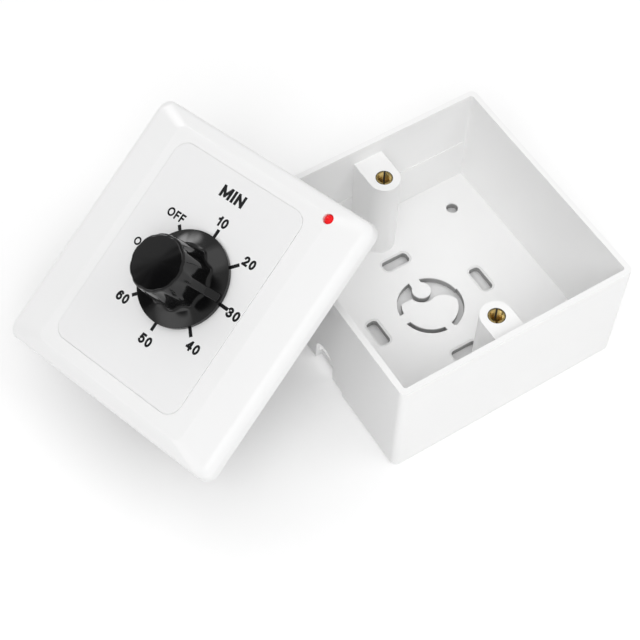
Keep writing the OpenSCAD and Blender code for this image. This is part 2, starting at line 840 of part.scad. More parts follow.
// Knob: skirt, fluted grip, pointer rib, hollow back and bore for the bush
module knob() {
    round_r = 0.9;
    color("black") place_plate() at_dial(knob_z) difference() {
        union() {
            difference() {
                rotate_extrude() polygon([[0, 0], [skirt_d / 2, 0], [skirt_d / 2, skirt_edge],
                    [grip_foot_d / 2 + 0.6, grip_foot_h], [grip_foot_d / 2, grip_foot_h + 0.3],
                    [grip_top_d / 2, knob_h - round_r], [grip_top_d / 2 - round_r * 0.3,
                        knob_h - round_r * 0.3],
                    [grip_top_d / 2 - round_r, knob_h], [0, knob_h + 0.3]]);
                for (i = [0 : flutes - 1]) at_scale_angle(knob_rest + (i + 0.5) * 360 / flutes)
                    translate([0, grip_foot_d / 2 + flute_r - flute_depth, grip_foot_h + 0.3])
                        rotate([flute_lean, 0, 0]) cylinder(r = flute_r, h = knob_h);
            }
            at_scale_angle(knob_rest) pointer_rib();
        }
        translate([0, 0, -1]) cylinder(d = skirt_d - 4, h = 1 + skirt_edge * 0.7);
        translate([0, 0, -1]) cylinder(d = knob_bush_d, h = knob_bush_z - knob_z + knob_bush_len + 1);
        translate([0, 0, grub_z - knob_z]) at_scale_angle(knob_rest + 180)
            rotate([-90, 0, 0]) cylinder(d = grub_d + 0.2, h = skirt_d);
    }
}

// Rib that runs down the grip and out over the skirt
module pointer_rib() {
    proud = 0.5;
    reach = skirt_d / 2 - 0.5;
    rib_top = 0.64 * knob_h;
    rib_share = (rib_top - grip_foot_h) / (knob_h - grip_foot_h);
    rib_top_r = (grip_foot_d + (grip_top_d - grip_foot_d) * rib_share) / 2 - 0.2;
    translate([-pointer_w / 2, 0, 0]) rotate([90, 0, 90]) linear_extrude(pointer_w)
        polygon([[knob_bush_d / 2 + 1, skirt_edge], [reach, skirt_edge], [reach,
            skirt_edge + proud + 0.3],
            [grip_foot_d / 2 + proud + 0.6, grip_foot_h + proud], [rib_top_r, rib_top],
            [knob_bush_d / 2 + 1, rib_top]]);
}

// Brass bush moulded into the knob
module knob_bush() {
    color("goldenrod") place_plate() at_dial(knob_bush_z) difference() {
        cylinder(d = knob_bush_d, h = knob_bush_len);
        translate([0, 0, -1]) cylinder(d = shaft_d + 2 * screw_gap, h = knob_bush_len + 0.5 + screw_gap);
        translate([0, 0, grub_z - knob_bush_z]) at_scale_angle(knob_rest + 180)
            rotate([-90, 0, 0]) cylinder(d = grub_d, h = knob_bush_d);
    }
}

// Grub screw on the shaft's flat, opposite the pointer
module grub_screw() {
    color("dimgray") place_plate() at_dial(grub_z) at_scale_angle(knob_rest + 180)
        translate([0, shaft_d / 2 - flat_depth, 0]) rotate([-90, 0, 0]) difference() {
            cylinder(d = grub_d, h = 5.5);
            translate([0, 0, 4]) cylinder(d = grub_d / 2, h = 3, $fn = 6);
        }
}

// Base of the relay on the board
module relay_base() {
    color("black") place_plate() translate([relay_x, relay_y, 0])
        block(relay_w - 2 * relay_wall - 0.4, relay_h - 2 * relay_wall - 0.4, board_front,
            board_front + relay_base_t);
}

// Bobbin with its winding round the core
module relay_coil() {
    low = board_front + relay_base_t + yoke_t;
    high = armature_z - pole_gap - 0.4;
    color("firebrick") place_plate() translate([coil_x, relay_y, 0]) difference() {
        union() {
            translate([0, 0, low]) cylinder(d = coil_d, h = bobbin_t);
            translate([0, 0, low]) cylinder(d = winding_d, h = high - low);
            translate([0, 0, high - bobbin_t]) cylinder(d = coil_d, h = bobbin_t);
        }
        translate([0, 0, low - 1]) cylinder(d = core_d, h = high - low + 2);
    }
}

// Steel yoke with the core
module relay_yoke() {
    low = board_front + relay_base_t;
    color("silver") place_plate() translate([0, relay_y, 0]) {
        translate([coil_x, 0, low]) cylinder(d = core_d, h = armature_z - pole_gap - low);
        translate([coil_x - coil_d / 2, -yoke_w / 2, low])
            cube([yoke_x - coil_x + coil_d / 2, yoke_w, yoke_t]);
        translate([yoke_x - yoke_t, -yoke_w / 2, low])
            cube([yoke_t, yoke_w, armature_z - hinge_gap - low]);
    }
}

// Fixed contact beside the coil
module relay_contact() {
    low = board_front + relay_base_t;
    top = armature_z - contact_gap;
    blade_x = -rivet_r - 0.2;
    color("goldenrod") place_plate() translate([contact_x, relay_y, 0]) {
        translate([blade_x, -contact_w / 2, low]) cube([blade_t, contact_w, top - rivet_h - low]);
        translate([blade_x, -contact_w / 2, top - rivet_h - blade_t])
            cube([rivet_r * 2, contact_w, blade_t]);
        translate([0, 0, top - rivet_h - eps]) cylinder(r = rivet_r * 0.8, h = rivet_h);
    }
}

// Armature with its contact rivet, round where it hinges on the yoke
module relay_armature() {
    color("silver") place_plate() translate([0, relay_y, 0]) {
        translate([contact_x - rivet_r, -armature_w / 2, armature_z])
            cube([hinge_x - contact_x + rivet_r, armature_w, armature_t]);
        translate([hinge_x, armature_w / 2, armature_z + armature_t / 2])
            rotate([90, 0, 0]) cylinder(d = armature_t, h = armature_w);
        translate([contact_x, 0, armature_z - rivet_h / 2]) cylinder(r = rivet_r * 0.8, h = rivet_h);
    }
}

// Cover of the relay
module relay_cover() {
    color("royalblue") place_plate() translate([relay_x, relay_y, 0]) difference() {
        block(relay_w, relay_h, board_front, relay_top);
        block(relay_w - 2 * relay_wall, relay_h - 2 * relay_wall, board_front - 1,
            relay_top - relay_wall);
    }
}

// Boxed film capacitor
module film_capacitor() {
    color("gold") place_plate() translate([film_cap_x, relay_y, 0])
        block(film_cap[0], film_cap[1], board_front, board_front + film_cap[2]);
}

// Upright storage capacitor with a pressed groove
module storage_capacitor() {
    color("midnightblue") place_plate() translate(storage_cap_at) translate([0, 0, board_front])
        difference() {
        cylinder(d = storage_cap_d, h = storage_cap_h);
        translate([0, 0, 2 * groove_r]) rotate_extrude()
            translate([storage_cap_d / 2 + groove_r * 0.4, 0]) circle(groove_r);
    }
}

// Disc varistor on two legs
module varistor() {
    middle = varistor_d / 2 + part_gap;
    color("steelblue") place_plate() translate(varistor_at) translate([0, 0, board_front]) {
        translate([-varistor_t / 2, 0, middle]) rotate([0, 90, 0])
            cylinder(d = varistor_d, h = varistor_t);
        for (side = [-1, 1]) translate([0, side * leg_pitch / 2, 0]) cylinder(d = leg_d, h = middle);
    }
}

// Flat rectifier
module rectifier() {
    color("black") place_plate() translate([0, rectifier_y, 0])
        block(rectifier_size[0], rectifier_size[1], board_front, board_front + rectifier_size[2]);
}

// Timer circuit in a flat package with legs
module timer_chip() {
    stand_off = 0.2;
    color("black") place_plate() translate([0, chip_y, 0]) {
        block(chip_size[0], chip_size[1], board_front + stand_off,
            board_front + stand_off + chip_size[2]);
        for (i = [-3 : 3]) translate([i * chip_pitch, 0, 0])
            block(chip_leg[0], chip_leg[1], board_front, board_front + chip_leg[2]);
    }
}

// Two axial resistors
module resistors() {
    color("tan") place_plate() for (i = [0, 1])
        translate(resistor_at) translate([i * resistor_pitch, 0, board_front]) {
            lead_len = resistor_span + resistor_lead_d;
            translate([0, resistor_len / 2, resistor_d / 2]) rotate([90, 0, 0])
                cylinder(d = resistor_d, h = resistor_len);
            translate([0, lead_len / 2, resistor_d / 2]) rotate([90, 0, 0])
                cylinder(d = resistor_lead_d, h = lead_len);
            for (side = [-1, 1]) translate([0, side * resistor_span / 2, 0])
                cylinder(d = resistor_lead_d, h = resistor_d / 2);
        }
}

back_box();
brass_inserts();
front_cover();
scale_label();
mounting_frame();
indicator_led();
led_wires();
module_case();
case_screws();
circuit_board();
board_screws();
terminal_block();
terminal_clamps();
terminal_screws();
switch_housing();
switch_base();
switch_pins();
switch_bush();
switch_washer();
switch_nut();
switch_shaft();
switch_rotor();
switch_wiper();
knob();
knob_bush();
grub_screw();
relay_base();
relay_coil();
relay_yoke();
relay_contact();
relay_armature();
relay_cover();
film_capacitor();
storage_capacitor();
varistor();
rectifier();
timer_chip();
resistors();
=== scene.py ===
"""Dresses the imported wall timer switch: faceplate with a pointer knob, leaning on its back box.

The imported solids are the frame. The cover, the knob, the thread inserts and the printed dial are
built here as finer meshes. Every other solid keeps its shape and gets a finish, and some get softer
edges. Lengths are millimetres where nothing else is said. Those of the faceplate are in its own
frame: X to its right, Y up and Z out of its front, with zero in the plane of the cover's rim.
"""
import json
from math import atan2, cos, exp, log, pi, radians, sin, tan

import bmesh
import bpy
from mathutils import Matrix, Vector


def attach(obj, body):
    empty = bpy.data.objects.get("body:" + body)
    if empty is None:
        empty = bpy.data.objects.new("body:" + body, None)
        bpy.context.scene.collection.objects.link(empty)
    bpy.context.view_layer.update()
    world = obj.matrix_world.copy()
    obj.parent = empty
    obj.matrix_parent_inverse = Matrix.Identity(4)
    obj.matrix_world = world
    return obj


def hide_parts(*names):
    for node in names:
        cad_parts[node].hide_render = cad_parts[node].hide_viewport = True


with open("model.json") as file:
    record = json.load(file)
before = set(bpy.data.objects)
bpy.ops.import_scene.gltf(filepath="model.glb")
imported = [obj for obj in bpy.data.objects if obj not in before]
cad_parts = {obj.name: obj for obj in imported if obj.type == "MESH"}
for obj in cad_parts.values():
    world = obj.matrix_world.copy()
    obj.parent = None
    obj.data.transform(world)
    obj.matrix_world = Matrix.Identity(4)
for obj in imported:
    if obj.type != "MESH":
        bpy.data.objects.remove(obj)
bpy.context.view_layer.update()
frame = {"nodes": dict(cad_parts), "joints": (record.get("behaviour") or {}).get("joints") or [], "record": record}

MM = 0.001
IN_MM = Matrix.Scale(MM, 4)

# Photograph's camera: focal length in pixels of a 640 pixel wide picture, where it stands in degrees
# and millimetres, and the nearest and farthest that it sees, in metres
PICTURE_W = 640
SENSOR_W = 36.0
FOCAL_PX = 1561.6
CAMERA_AZIMUTH = -34.04
CAMERA_ELEVATION = 57.16
CAMERA_ROLL = 2.19
CAMERA_DISTANCE = 502.15
CAMERA_TARGET = (-32.42, 15.01, 0.0)
SEEN_FROM, SEEN_TO = 0.01, 20.0

# Where the dial's axis is on the faceplate
DIAL_AT = (2.2, 0.5)

# Thread inserts in the box's bosses: where they are, their size and that of the thread
INSERT_AT = 30.15
INSERT_TOP = 35.9
INSERT_LEN = 9.0
INSERT_R = 2.7
THREAD_R = 1.65
THREAD_PITCH = 0.6
THREAD_DEEP = 0.28


def plate_matrix():
    """Faceplate frame, in metres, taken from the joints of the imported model."""
    joints = {joint["name"]: joint for joint in frame["joints"]}
    out = Vector(joints["knob_turn"]["axis"]).normalized()
    up = -Vector(joints["armature_swing"]["axis"])
    right = up.cross(out).normalized()
    up = out.cross(right)
    turn = Matrix((right, up, out)).transposed().to_4x4()
    dial = Matrix.Translation(Vector(joints["knob_turn"]["pos_m"])) @ turn
    return dial @ Matrix.Translation(Vector((-DIAL_AT[0], -DIAL_AT[1], 0.0)) * MM)


PLATE = plate_matrix()
DIAL = PLATE @ Matrix.Translation(Vector((DIAL_AT[0], DIAL_AT[1], 0.0)) * MM)


def make_camera():
    """Camera at the photograph's viewpoint."""
    azimuth = radians(CAMERA_AZIMUTH)
    elevation = radians(CAMERA_ELEVATION)
    roll = radians(CAMERA_ROLL)
    back = Vector((sin(azimuth) * cos(elevation), -cos(azimuth) * cos(elevation), sin(elevation)))
    level = (-back).cross(Vector((0, 0, 1))).normalized()
    upright = level.cross(-back)
    right = level * cos(roll) + upright * sin(roll)
    up = upright * cos(roll) - level * sin(roll)
    data = bpy.data.cameras.new("camera")
    data.sensor_fit = "HORIZONTAL"
    data.sensor_width = SENSOR_W
    data.lens = FOCAL_PX * SENSOR_W / PICTURE_W
    data.clip_start = SEEN_FROM
    data.clip_end = SEEN_TO
    camera = bpy.data.objects.new("camera", data)
    bpy.context.scene.collection.objects.link(camera)
    place = Matrix((right, up, back)).transposed().to_4x4()
    place.translation = (Vector(CAMERA_TARGET) + back * CAMERA_DISTANCE) * MM
    camera.matrix_world = place
    bpy.context.scene.camera = camera


def constant(tree, value):
    """A fixed value in a node tree."""
    node = tree.nodes.new("ShaderNodeValue")
    node.outputs["Value"].default_value = value
    return node.outputs["Value"]


def calculate(tree, operation, *values):
    """Result of an operation on one or two values of a node tree."""
    node = tree.nodes.new("ShaderNodeMath")
    node.operation = operation
    for value, socket in zip(values, node.inputs):
        tree.links.new(value, socket)
    return node.outputs["Value"]


def mixed(tree, share, first, second):
    """First value of a node tree where share is zero, and the second where it is one."""
    node = tree.nodes.new("ShaderNodeMix")
    tree.links.new(share, node.inputs["Factor"])
    tree.links.new(first, node.inputs["A"])
    tree.links.new(second, node.inputs["B"])
    return node.outputs["Result"]


def ranged(tree, value, before, after):
    """A value of a node tree mapped from one range to another, and kept inside it."""
    node = tree.nodes.new("ShaderNodeMapRange")
    for name, number in zip(("From Min", "From Max", "To Min", "To Max"), (*before, *after)):
        node.inputs[name].default_value = number
    tree.links.new(value, node.inputs["Value"])
    return node.outputs["Result"]


# Range that holds most values of a noise, and the detail of the noises for colour, gloss and grain
NOISE_SPAN = (0.3, 0.7)
CLOUD_DETAIL, GLOSS_DETAIL, GRAIN_DETAIL = 3.0, 4.0, 2.0


def finish(name, colour, cloud=0.03, cloud_scale=45.0, rough=(0.3, 0.4), rough_scale=160.0,
           grain=0.15, grain_scale=2600.0, grain_depth=0.02, pattern=None, shade=None, **sockets):
    """Material with clouded colour, uneven gloss and a fine grain, all in the part's own space.

    pattern, if given, is called with the node tree and the coordinates, and returns a height from
    0 to 1 that is added to the grain. shade is called likewise, and returns a factor of painted shade
    for the colour. The other arguments are fixed values of the shader.
    """
    material = bpy.data.materials.new(name)
    material.use_nodes = True
    tree = material.node_tree
    shader = tree.nodes["Principled BSDF"]
    place = tree.nodes.new("ShaderNodeTexCoord").outputs["Object"]

    def noise(scale, detail):
        texture = tree.nodes.new("ShaderNodeTexNoise")
        texture.inputs["Scale"].default_value = scale
        texture.inputs["Detail"].default_value = detail
        tree.links.new(place, texture.inputs["Vector"])
        return texture.outputs["Fac"]

    ramp = tree.nodes.new("ShaderNodeValToRGB")
    for stop, at, level in zip(ramp.color_ramp.elements, NOISE_SPAN, (1 - cloud, 1 + cloud)):
        stop.position = at
        stop.color = [min(1, part * level) for part in colour] + [1]
    tree.links.new(noise(cloud_scale, CLOUD_DETAIL), ramp.inputs["Fac"])
    tint = ramp.outputs["Color"]
    # Painted shade: the colour is scaled down by the factor from shade.
    if shade:
        scaled = tree.nodes.new("ShaderNodeVectorMath")
        scaled.operation = "SCALE"
        tree.links.new(tint, scaled.inputs["Vector"])
        tree.links.new(shade(tree, place), scaled.inputs["Scale"])
        tint = scaled.outputs["Vector"]
    tree.links.new(tint, shader.inputs["Base Color"])

    gloss = ranged(tree, noise(rough_scale, GLOSS_DETAIL), NOISE_SPAN, rough)
    tree.links.new(gloss, shader.inputs["Roughness"])

    height = noise(grain_scale, GRAIN_DETAIL)
    if pattern:
        height = calculate(tree, "ADD", height, pattern(tree, place))
    bump = tree.nodes.new("ShaderNodeBump")
    bump.inputs["Strength"].default_value = grain
    bump.inputs["Distance"].default_value = grain_depth * MM
    tree.links.new(height, bump.inputs["Height"])
    tree.links.new(bump.outputs["Normal"], shader.inputs["Normal"])

    for socket, value in sockets.items():
        shader.inputs[socket.replace("_", " ")].default_value = value
    return material


def bands(scale, direction, distortion=0.0):
    """Pattern of parallel lines, such as brush marks or a winding."""
    def build(tree, place):
        wave = tree.nodes.new("ShaderNodeTexWave")
        wave.bands_direction = direction
        wave.inputs["Scale"].default_value = scale
        wave.inputs["Distortion"].default_value = distortion
        tree.links.new(place, wave.inputs["Vector"])
        return wave.outputs["Fac"]
    return build


def tracks(scale, gap):
    """Pattern of raised copper tracks under a solder mask, with a gap between them."""
    def build(tree, place):
        bricks = tree.nodes.new("ShaderNodeTexBrick")
        bricks.inputs["Scale"].default_value = scale
        bricks.inputs["Mortar Size"].default_value = gap
        tree.links.new(place, bricks.inputs["Vector"])
        return bricks.outputs["Fac"]
    return build


# Openings in the box's floor, whose walls get painted shade: half the width they lie in and its soft
# edge, the heights between which the painted shade darkens them, and how dark
CUT_EDGE = (38.0, 38.5)
CUT_HEIGHTS = (1.7, 2.45)
PAINTED_CUT_SHADE = 0.35
# Sockets of the inserts, whose walls get painted shade: soft edge outside the insert, and how dark
SOCKET_EDGE = (0.02, 0.1)
PAINTED_SOCKET_SHADE = 0.1


def painted_cut_shade(tree, place):
    """Painted shade: a factor that darkens the walls of the openings in the box's floor and of the inserts'
    sockets.
    """
    parts = tree.nodes.new("ShaderNodeSeparateXYZ")
    tree.links.new(place, parts.inputs["Vector"])
    x, y, z = (parts.outputs[axis] for axis in "XYZ")
    away_x = calculate(tree, "ABSOLUTE", x)
    away_y = calculate(tree, "ABSOLUTE", y)
    factor = ranged(tree, z, [height * MM for height in CUT_HEIGHTS], (PAINTED_CUT_SHADE, 1.0))
    for away in (away_x, away_y):
        outside = ranged(tree, away, [edge * MM for edge in CUT_EDGE], (0.0, 1.0))
        factor = mixed(tree, outside, factor, constant(tree, 1.0))
    along = calculate(tree, "SUBTRACT", away_y, constant(tree, INSERT_AT * MM))
    square = calculate(tree, "ADD", calculate(tree, "MULTIPLY", along, along),
                       calculate(tree, "MULTIPLY", x, x))
    off_axis = calculate(tree, "SQRT", square)
    edge = [(INSERT_R + out) * MM for out in SOCKET_EDGE]
    socket = ranged(tree, off_axis, edge, (PAINTED_SOCKET_SHADE, 1.0))
    return calculate(tree, "MULTIPLY", factor, socket)


FINISHES = {
    # The box's finish carries painted shade in the openings of its floor and in the inserts' sockets.
    "box_plastic": finish("box_plastic", (0.945, 0.945, 0.943), cloud=0.006, rough=(0.36, 0.42),
                          grain=0.06, grain_scale=2400.0, shade=painted_cut_shade),
    "cover_plastic": finish("cover_plastic", (0.90, 0.90, 0.90), cloud=0.004, rough=(0.28, 0.3),
                            grain=0.02, grain_scale=500.0),
    "label_film": finish("label_film", (0.86, 0.86, 0.862), cloud=0.004, rough=(0.38, 0.44),
                         grain=0.06, grain_scale=4200.0),
    "frame_plastic": finish("frame_plastic", (0.05, 0.05, 0.052), cloud=0.06, rough=(0.42, 0.55),
                            grain=0.3, grain_scale=2600.0),
    "case_plastic": finish("case_plastic", (0.035, 0.035, 0.037), cloud=0.08, rough=(0.5, 0.62),
                           grain=0.7, grain_scale=3200.0, grain_depth=0.04),
    "knob_plastic": finish("knob_plastic", (0.003, 0.003, 0.0032), cloud=0.1, rough=(0.08, 0.11),
                           grain=0.03, grain_scale=1800.0, IOR=1.42),
    "black_plastic": finish("black_plastic", (0.008, 0.008, 0.009), cloud=0.1, rough=(0.4, 0.5),
                            grain=0.2, Specular_IOR_Level=0.2),
    "brown_plastic": finish("brown_plastic", (0.20, 0.085, 0.04), cloud=0.2, cloud_scale=900.0,
                            rough=(0.5, 0.65), grain=0.3),
    "blue_plastic": finish("blue_plastic", (0.035, 0.09, 0.36), cloud=0.06, rough=(0.3, 0.4)),
    "yellow_plastic": finish("yellow_plastic", (0.72, 0.46, 0.05), cloud=0.06, rough=(0.3, 0.42)),
    "coil_copper": finish("coil_copper", (0.50, 0.16, 0.06), cloud=0.12, rough=(0.25, 0.35),
                          grain=0.9, grain_depth=0.05, pattern=bands(1200.0, "Z"), Metallic=0.8),
    "brass": finish("brass", (0.80, 0.60, 0.24), cloud=0.16, cloud_scale=420.0, rough=(0.2, 0.38),
                    rough_scale=700.0, grain=0.25, grain_scale=1800.0, Metallic=1.0),
    "steel": finish("steel", (0.56, 0.565, 0.57), cloud=0.08, cloud_scale=300.0, rough=(0.26, 0.42),
                    rough_scale=800.0, grain=0.3, pattern=bands(900.0, "Y", 3.0), Metallic=1.0),
    "red_lens": finish("red_lens", (0.78, 0.008, 0.012), cloud=0.08, rough=(0.08, 0.14), grain=0.02,
                       Specular_IOR_Level=0.25, Emission_Color=(1.0, 0.01, 0.015, 1.0),
                       Emission_Strength=0.15),
    "wire_sleeve": finish("wire_sleeve", (0.06, 0.06, 0.065), cloud=0.1, rough=(0.45, 0.6),
                          grain=0.3),
    "board": finish("board", (0.02, 0.12, 0.035), cloud=0.15, rough=(0.3, 0.45), grain=0.5,
                    grain_depth=0.05, pattern=tracks(280.0, 0.06)),
}
NODE_SLOT = {part["node"]: part["material_slot"] for part in frame["record"]["subparts"]}

# Solids with rounded edges and how wide the rounding is, from what angle in degrees an edge counts as
# sharp, and what is joined or flattened before
SOFT_EDGES = {"back_box": 0.35, "scale_label": 0.08, "mounting_frame": 0.3, "module_case": 0.5,
              "terminal_block": 0.35}
SHARP_ANGLE = 32.0
EDGE_STEPS = 3
WELD_GAP = 0.0005
FLAT_ANGLE = 0.6
NORMAL_WEIGHT = 100


def dress_nodes():
    """Gives each solid of the frame the finish of its slot."""
    for name, node in frame["nodes"].items():
        material = FINISHES[NODE_SLOT[name]]
        if not node.material_slots:
            node.data.materials.append(material)
        for place in node.material_slots:
            place.material = material


def soften(name, width):
    """Rounds the sharp edges of a solid by a width, with modifiers only."""
    node = frame["nodes"][name]
    weld = node.modifiers.new("weld", "WELD")
    weld.merge_threshold = WELD_GAP * MM
    flat = node.modifiers.new("flat", "DECIMATE")
    flat.decimate_type = "DISSOLVE"
    flat.angle_limit = radians(FLAT_ANGLE)
    bevel = node.modifiers.new("bevel", "BEVEL")
    bevel.width = width * MM
    bevel.segments = EDGE_STEPS
    bevel.limit_method = "ANGLE"
    bevel.angle_limit = radians(SHARP_ANGLE)
    bevel.miter_outer = "MITER_ARC"
    shade = node.modifiers.new("shade", "WEIGHTED_NORMAL")
    shade.weight = NORMAL_WEIGHT


def piece(name, mesh, body, slot, *nodes):
    """Adds a mesh that rides on a body, and stands for the named solids of the frame."""
    obj = bpy.data.objects.new(name, mesh)
    bpy.context.scene.collection.objects.link(obj)
    mesh.materials.clear()
    mesh.materials.append(FINISHES[slot])
    if nodes:
        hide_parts(*nodes)
    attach(obj, body)
    return obj


# Points of a mesh that are nearer than this are one
SAME_POINT = 1e-5
# How far a cutting shape reaches past what it cuts
CUT_PAST = 1.0
CYLINDER_STEPS = 48
CORNERS = ((1, 1), (-1, 1), (-1, -1), (1, -1))


def mesh_of(name, verts, faces):
    """Mesh with its faces turned outwards."""
    mesh = bpy.data.meshes.new(name)
    mesh.from_pydata(verts, [], faces)
    work = bmesh.new()
    work.from_mesh(mesh)
    bmesh.ops.remove_doubles(work, verts=work.verts, dist=SAME_POINT)
    bmesh.ops.recalc_face_normals(work, faces=work.faces)
    work.to_mesh(mesh)
    work.free()
    return mesh


def merged(name, meshes):
    """One mesh of several that stay apart."""
    work = bmesh.new()
    for mesh in meshes:
        work.from_mesh(mesh)
    whole = bpy.data.meshes.new(name)
    work.to_mesh(whole)
    work.free()
    return whole


def loft(rings, closed=False):
    """Vertices and faces of a body through rings of points: flat at both ends, or closed to a loop."""
    if closed:
        rings = rings + rings[:1]
    count = len(rings[0])
    verts = [point for ring in rings for point in ring]
    faces = [(i * count + j, i * count + (j + 1) % count, (i + 1) * count + (j + 1) % count,
              (i + 1) * count + j) for i in range(len(rings) - 1) for j in range(count)]
    if not closed:
        faces.append(tuple(reversed(range(count))))
        faces.append(tuple(range(len(verts) - count, len(verts))))
    return verts, faces


def combine(base, operation, *others):
    """Mesh of a boolean of meshes. The others are used up."""
    result = base
    for other in others:
        first = bpy.data.objects.new("first", result)
        second = bpy.data.objects.new("second", other)
        for obj in (first, second):
            bpy.context.scene.collection.objects.link(obj)
        cut = first.modifiers.new("cut", "BOOLEAN")
        cut.operation = operation
        cut.solver = "EXACT"
        cut.object = second
        bpy.context.view_layer.update()
        result = bpy.data.meshes.new_from_object(
            first.evaluated_get(bpy.context.evaluated_depsgraph_get()))
        for obj in (first, second):
            bpy.data.objects.remove(obj)
    return result


def settle(mesh, place, angle=35.0):
    """Puts a mesh in millimetres into place and shades it smooth up to an angle in degrees."""
    mesh.transform(place @ IN_MM)
    mesh.shade_smooth()
    mesh.set_sharp_from_angle(angle=radians(angle))
    return mesh


def circle(radius, z, steps):
    """Ring of points round the axis at a height."""
    turns = [2 * pi * i / steps for i in range(steps)]
    return [(radius * cos(turn), radius * sin(turn), z) for turn in turns]


def cylinder(radius, low, high):
    """Mesh of an upright cylinder."""
    return mesh_of("cylinder", *loft([circle(radius, z, CYLINDER_STEPS) for z in (low, high)]))


def slab(w, h, low, high):
    """Mesh of a block with its middle on the axis."""
    rings = [[(x * w / 2, y * h / 2, z) for x, y in CORNERS] for z in (low, high)]
    return mesh_of("slab", *loft(rings))


def corner_turns(steps):
    """Signs of the corner and the angle for each point round a rectangle with round corners."""
    return [(x, y, (quarter + i / steps) * pi / 2) for quarter, (x, y) in enumerate(CORNERS)
            for i in range(steps + 1)]


def rounded(corners, radii, steps=8):
    """Points of a bent line in a plane, with an arc of the given radius at each inner corner."""
    line = [corners[0]]
    for before, corner, after, radius in zip(corners, corners[1:], corners[2:], radii):
        into = (Vector(before) - Vector(corner)).normalized()
        away = (Vector(after) - Vector(corner)).normalized()
        half = into.angle(away) / 2
        middle = Vector(corner) + (into + away).normalized() * (radius / sin(half))
        start = Vector(corner) + into * (radius / tan(half)) - middle
        sweep = (pi - 2 * half) * (1 if into.cross(away) < 0 else -1)
        for i in range(steps + 1):
            turn = atan2(start[1], start[0]) + sweep * i / steps
            line.append((middle[0] + radius * cos(turn), middle[1] + radius * sin(turn)))
    line.append(corners[-1])
    return line


# Cover: width, corner's radius and how much of an inset it loses, height of the front, and thickness
PLATE_W = 86.0
PLATE_CORNER = 4.0
CORNER_LOSS = 0.25
COVER_CORNER_STEPS = 10
FACE_H = 6.6
SKIN = 2.0
# Cover's margins left and right, and above and below: where the side and the slope would meet, as
# inset and height, how far in the slope ends, and the bends at its foot and at its end
SIDE_MARGIN = ((0.45, 4.6), 13.0, (3.6, 2.5))
END_MARGIN = ((0.45, 4.15), 4.7, (2.2, 1.2))
RIM_BEND = 0.3
FRONT_RUN = 3.0
# Cover's hollow: insets of its ceiling, left and right and then above and below, and where the walls
# start to close in, as inset and height
CEILING_SIDE, CEILING_END = 13.4, 6.1
HOLLOW_FOOT = (2.4, 2.8)
# Holes for the shaft and the indicator
SHAFT_HOLE_D = 11.0
LED_AT = (29.8, 37.2)
LED_D = 3.0
LED_GAP = 0.1
LED_HOLE_FROM = 0.5
# Label, and the groove round it: how far it reaches under the label and out from it, and its depth
LABEL_AT = (-1.0, 0.4)
LABEL_W = 50.8
LABEL_H = 68.4
LABEL_CORNER = 4.5
LABEL_CORNER_STEPS = 8
GROOVE_IN, GROOVE_OUT, GROOVE_DEEP = 0.05, 0.2, 0.25


def margin_line(meet, run, bends):
    """Section of the cover across one margin, as insets and heights: rim, side, slope and front."""
    corners = [(SKIN, 0.0), (0.0, 0.0), meet, (run, FACE_H), (run + FRONT_RUN, FACE_H)]
    return rounded(corners, (RIM_BEND, *bends))


def cover_ring(across, along):
    """Ring of the cover from an inset and height of its left and right, and of its top and bottom."""
    corner = PLATE_CORNER - along[0] * CORNER_LOSS
    half_w = PLATE_W / 2 - across[0] - corner
    half_h = PLATE_W / 2 - along[0] - corner
    ring = []
    for x, y, turn in corner_turns(COVER_CORNER_STEPS):
        share = sin(turn) ** 2
        ring.append((x * half_w + corner * cos(turn), y * half_h + corner * sin(turn),
                     across[1] * (1 - share) + along[1] * share))
    return ring


def label_ring(grow, z):
    """Outline of the label, grown all round, at a height."""
    corner = LABEL_CORNER + grow
    half_w = LABEL_W / 2 - LABEL_CORNER
    half_h = LABEL_H / 2 - LABEL_CORNER
    return [(LABEL_AT[0] + x * half_w + corner * cos(turn),
             LABEL_AT[1] + y * half_h + corner * sin(turn), z)
            for x, y, turn in corner_turns(LABEL_CORNER_STEPS)]


def label_groove():
    """Mesh of the narrow groove that the label sits in."""
    low, high = FACE_H - GROOVE_DEEP, FACE_H + CUT_PAST
    rings = [label_ring(grow, z) for grow, z in
             ((-GROOVE_IN, low), (GROOVE_OUT, low), (GROOVE_OUT, high), (-GROOVE_IN, high))]
    return mesh_of("label_groove", *loft(rings, closed=True))


def make_cover():
    """Faceplate cover with drafted sides, round shoulders and softly sloping margins."""
    ceiling = FACE_H - SKIN
    hollow = [cover_ring((CEILING_SIDE, ceiling), (CEILING_END, ceiling)),
              cover_ring(HOLLOW_FOOT, HOLLOW_FOOT)]
    outside = [cover_ring(across, along) for across, along in
               zip(margin_line(*SIDE_MARGIN), margin_line(*END_MARGIN))]
    cover = mesh_of("front_cover_smooth", *loft(hollow + outside))
    shaft_hole = cylinder(SHAFT_HOLE_D / 2, ceiling - CUT_PAST, FACE_H + CUT_PAST)
    shaft_hole.transform(Matrix.Translation((*DIAL_AT, 0)))
    led_hole = cylinder(LED_D / 2 + LED_GAP, LED_HOLE_FROM, FACE_H + CUT_PAST)
    led_hole.transform(Matrix.Translation((*LED_AT, 0)))
    cover = combine(cover, "DIFFERENCE", shaft_hole, led_hole, label_groove())
    shell = piece("cover_shell", settle(cover, PLATE), "plate", "cover_plastic", "front_cover")
    level = shell.modifiers.new("level", "WEIGHTED_NORMAL")
    level.weight = NORMAL_WEIGHT
    level.keep_sharp = True


# Knob: height of its foot over the cover's rim, own height, and how far in degrees the pointer stands
# back from its mark
KNOB_Z = 7.25
KNOB_H = 17.0
POINTER_BACK = 5.0
KNOB_TURNS = 360
# Underside, as radius and height: bore and recess
BORE = (4.8, 11.4)
RECESS = (12.8, 0.7)
# Skirt: radius, height of its side, end of its slope as distance from the grip and height, and bends
SKIRT_R = 14.8
SKIRT_SIDE = 1.5
SLOPE_END = (0.7, 2.7)
SKIRT_BENDS = (0.1, 0.15)
SKIRT_STEPS = 5
